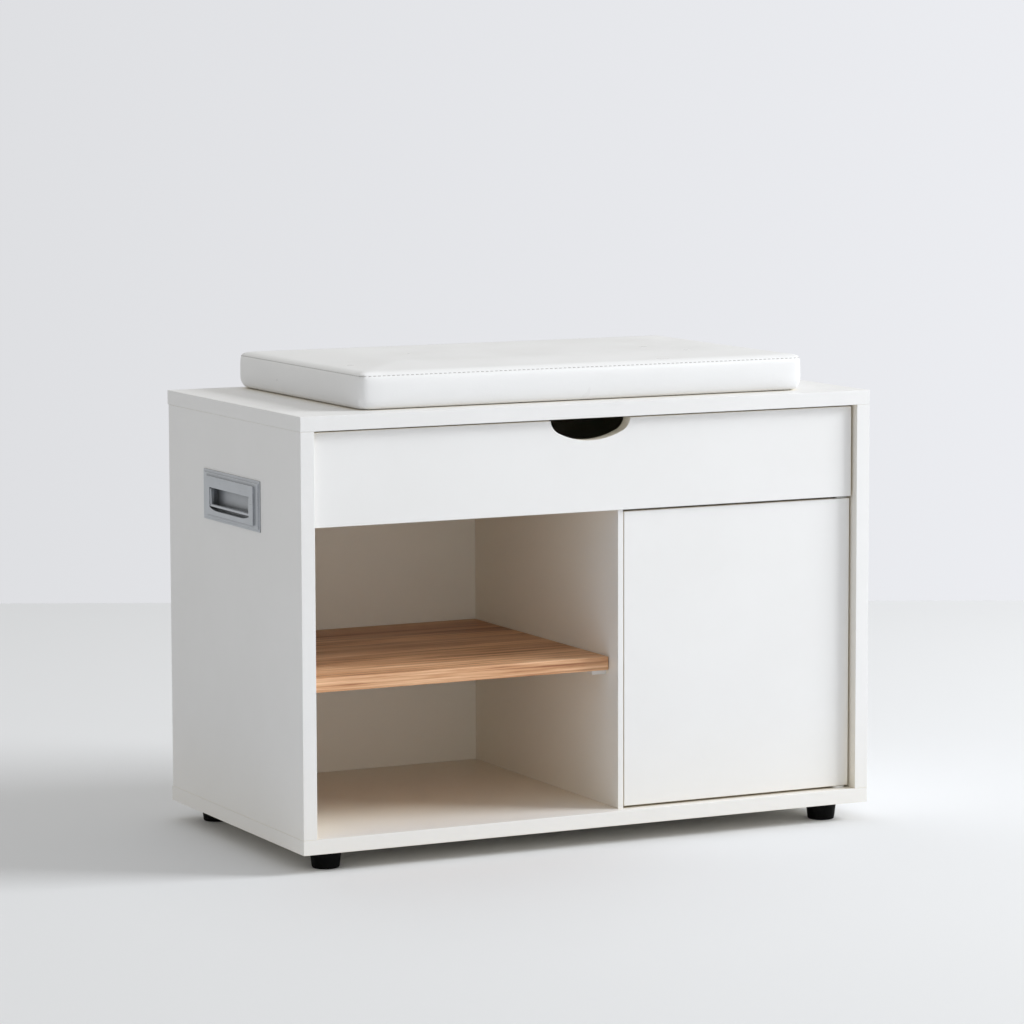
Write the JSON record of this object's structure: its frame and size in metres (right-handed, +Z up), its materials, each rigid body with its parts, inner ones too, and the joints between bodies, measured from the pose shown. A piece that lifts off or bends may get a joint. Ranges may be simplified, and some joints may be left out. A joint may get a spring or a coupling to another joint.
{
  "type": "entryway bench",
  "caption": "Low white storage bench with a wide drawer, an open bay with a wooden shelf, a push-to-open door, flush side handles, short feet and a loose padded seat cushion.",
  "frame": {"origin": "on the floor under the middle of the cabinet's width and depth", "axes": "+X to the right seen from the front, -Y towards the front with the drawer and the door, +Z up"},
  "size_m": [0.6986, 0.37, 0.527],
  "materials": {
    "white_board": "satin",
    "back_board": "satin",
    "natural_wood": "satin",
    "dowel_wood": "matte",
    "black_plastic": "satin",
    "white_plastic": "satin",
    "grey_plastic": "satin",
    "satin_metal": "satin",
    "steel": "satin",
    "white_leather": "satin",
    "foam": "matte"
  },
  "bodies": {
    "cabinet": {"top_panel": "white_board", "bottom_panel": "white_board", "left_side_panel": "white_board", "right_side_panel": "white_board", "divider_panel": "white_board", "mid_panel": "white_board", "back_panel": "back_board", "wood_shelf": "natural_wood", "wood_dowels": "dowel_wood", "foot_front_left": "black_plastic", "foot_front_right": "black_plastic", "foot_back_left": "black_plastic", "foot_back_right": "black_plastic", "shelf_pins": "white_plastic", "left_rail": "white_plastic", "right_rail": "white_plastic", "pivot_bush": "white_plastic", "latch_housing": "white_plastic", "left_handle_plate": "satin_metal", "right_handle_plate": "satin_metal", "foot_screws": "steel", "base_screws": "steel", "mid_panel_screws": "steel", "cam_bolts": "steel", "cam_discs": "steel", "back_nails": "steel", "rail_screws": "steel", "pivot_plate": "steel", "pivot_plate_screws": "steel", "latch_spring": "steel", "latch_screws": "steel", "left_handle_pins": "steel", "right_handle_pins": "steel", "handle_screws": "steel"},
    "drawer": {"drawer_front": "white_board", "drawer_left_side": "white_board", "drawer_right_side": "white_board", "drawer_back": "white_board", "drawer_bottom": "back_board", "drawer_cam_bolts": "steel", "drawer_cam_discs": "steel", "drawer_dowels": "dowel_wood", "drawer_back_screws": "steel"},
    "door": {"door_panel": "white_board", "door_top_pin": "steel", "door_bottom_pin": "steel", "door_strike_plate": "steel"},
    "plunger": {"latch_plunger": "grey_plastic"},
    "left_bail": {"left_handle_bail": "satin_metal"},
    "right_bail": {"right_handle_bail": "satin_metal"},
    "cushion": {"cushion_cover": "white_leather", "cushion_foam": "foam"}
  },
  "joints": [
    {"name": "drawer_slide", "type": "slide", "parent": "cabinet", "child": "drawer", "axis": [0, -1, 0], "range_m": [0, 0.25]},
    {"name": "door_hinge", "type": "hinge", "parent": "cabinet", "child": "door", "pos_m": [0.3167, -0.167, 0.2], "axis": [0, 0, 1], "range_deg": [0, 105]},
    {"name": "latch_push", "type": "slide", "parent": "cabinet", "child": "plunger", "axis": [0, 1, 0], "range_m": [0, 0.003], "stiffness_N_per_m": 300, "springref_m": -0.005, "deforming": ["latch_spring"]},
    {"name": "left_bail_swing", "type": "hinge", "parent": "cabinet", "child": "left_bail", "pos_m": [-0.3465, 0, 0.3863], "axis": [0, 1, 0], "range_deg": [0, 90]},
    {"name": "right_bail_swing", "type": "hinge", "parent": "cabinet", "child": "right_bail", "pos_m": [0.3465, 0, 0.3863], "axis": [0, -1, 0], "range_deg": [0, 90]},
    {"name": "cushion_lift", "type": "slide", "parent": "cabinet", "child": "cushion", "axis": [0, 0, 1], "range_m": [0, 0.15]}
  ]
}
